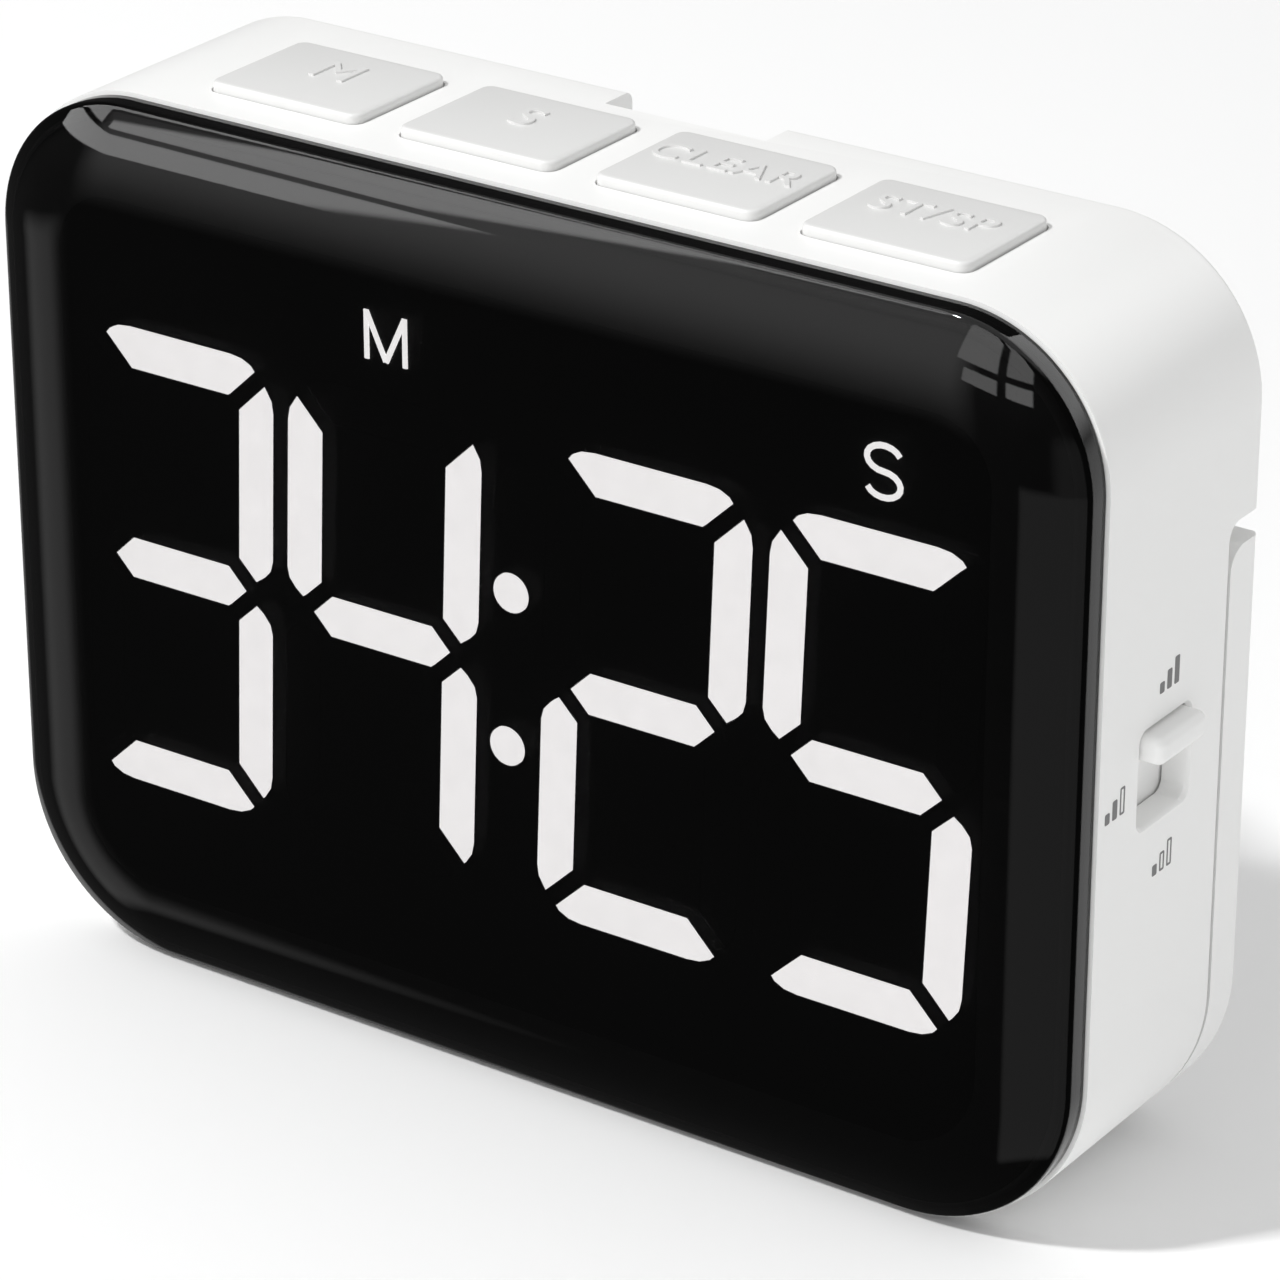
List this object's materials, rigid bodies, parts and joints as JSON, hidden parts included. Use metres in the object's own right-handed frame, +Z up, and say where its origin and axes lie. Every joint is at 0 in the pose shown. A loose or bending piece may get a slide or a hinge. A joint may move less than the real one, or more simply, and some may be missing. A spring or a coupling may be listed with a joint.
{
  "type": "digital countdown timer",
  "caption": "Free-standing digital countdown timer with a large lit display behind a smoked lens, top keys, side level switch, folding kickstand and magnetic back.",
  "frame": {"origin": "centre of the flat base, midway across the casing and midway between front and back", "axes": "+X to the viewer's right seen from the display side, +Y towards the rear (the display faces -Y), +Z up"},
  "size_m": [0.0915, 0.0244, 0.0674],
  "materials": {
    "case_plastic": "fine satin moulded white ABS",
    "key_plastic": "satin moulded white ABS",
    "smoked_lens": "polished smoked acrylic",
    "display_black": "matt black",
    "light_guide": "opal diffuser, lit from behind",
    "housing_plastic": "white reflector plastic",
    "circuit_board": "green solder mask on glass-epoxy board",
    "black_plastic": "moulded black component plastic",
    "switch_can": "tinned steel can",
    "screw_steel": "zinc-plated steel",
    "nickel": "bright nickel plate",
    "cell_can": "printed sleeve on steel can"
  },
  "bodies": {
    "casing": {"main_case": "case_plastic", "front_lens": "smoked_lens", "display_mask": "display_black", "digit_light_1": "light_guide", "digit_light_2": "light_guide", "digit_light_3": "light_guide", "digit_light_4": "light_guide", "colon_light": "light_guide", "letter_light_m": "light_guide", "letter_light_s": "light_guide", "display_housing": "housing_plastic", "main_board": "circuit_board", "key_board": "circuit_board", "processor_chip": "black_plastic", "buzzer": "black_plastic", "board_header": "black_plastic", "tact_switch_1": "black_plastic", "tact_switch_2": "black_plastic", "tact_switch_3": "black_plastic", "tact_switch_4": "black_plastic", "slide_switch_body": "switch_can", "hinge_pin_left": "screw_steel", "hinge_pin_right": "screw_steel", "board_screw_left_low": "screw_steel", "board_screw_left_high": "screw_steel", "board_screw_right_low": "screw_steel", "board_screw_right_high": "screw_steel", "magnet_left": "nickel", "magnet_right": "nickel", "contact_spring_1": "nickel", "contact_spring_2": "nickel", "contact_spring_3": "nickel", "contact_plate_1": "nickel", "contact_plate_2": "nickel", "contact_plate_3": "nickel", "battery_1": "cell_can", "battery_2": "cell_can", "battery_3": "cell_can"},
    "kickstand": {"kickstand": "case_plastic"},
    "battery_door": {"battery_door": "case_plastic"},
    "level_switch": {"switch_knob": "case_plastic", "switch_actuator": "black_plastic"},
    "key_1": {"key_cap_1": "key_plastic", "tact_plunger_1": "black_plastic"},
    "key_2": {"key_cap_2": "key_plastic", "tact_plunger_2": "black_plastic"},
    "key_3": {"key_cap_3": "key_plastic", "tact_plunger_3": "black_plastic"},
    "key_4": {"key_cap_4": "key_plastic", "tact_plunger_4": "black_plastic"}
  },
  "joints": [
    {"name": "minute_key_press", "type": "slide", "parent": "casing", "child": "key_1", "axis": [0, 0, 1], "range_m": [-0.0005, 0], "stiffness_N_per_m": 1500, "springref_m": 0.0004},
    {"name": "second_key_press", "type": "slide", "parent": "casing", "child": "key_2", "axis": [0, 0, 1], "range_m": [-0.0005, 0], "stiffness_N_per_m": 1500, "springref_m": 0.0004},
    {"name": "clear_key_press", "type": "slide", "parent": "casing", "child": "key_3", "axis": [0, 0, 1], "range_m": [-0.0005, 0], "stiffness_N_per_m": 1500, "springref_m": 0.0004},
    {"name": "start_stop_key_press", "type": "slide", "parent": "casing", "child": "key_4", "axis": [0, 0, 1], "range_m": [-0.0005, 0], "stiffness_N_per_m": 1500, "springref_m": 0.0004},
    {"name": "level_switch_slide", "type": "slide", "parent": "casing", "child": "level_switch", "axis": [0, 0, 1], "range_m": [-0.0048, 0]},
    {"name": "kickstand_hinge", "type": "hinge", "parent": "casing", "child": "kickstand", "pos_m": [0, 0.0103, 0.044], "axis": [1, 0, 0], "range_deg": [0, 60]},
    {"name": "battery_door_tilt", "type": "hinge", "parent": "casing", "child": "battery_door", "pos_m": [0, 0.0106, 0.0058], "axis": [-1, 0, 0], "range_deg": [0, 40]}
  ]
}
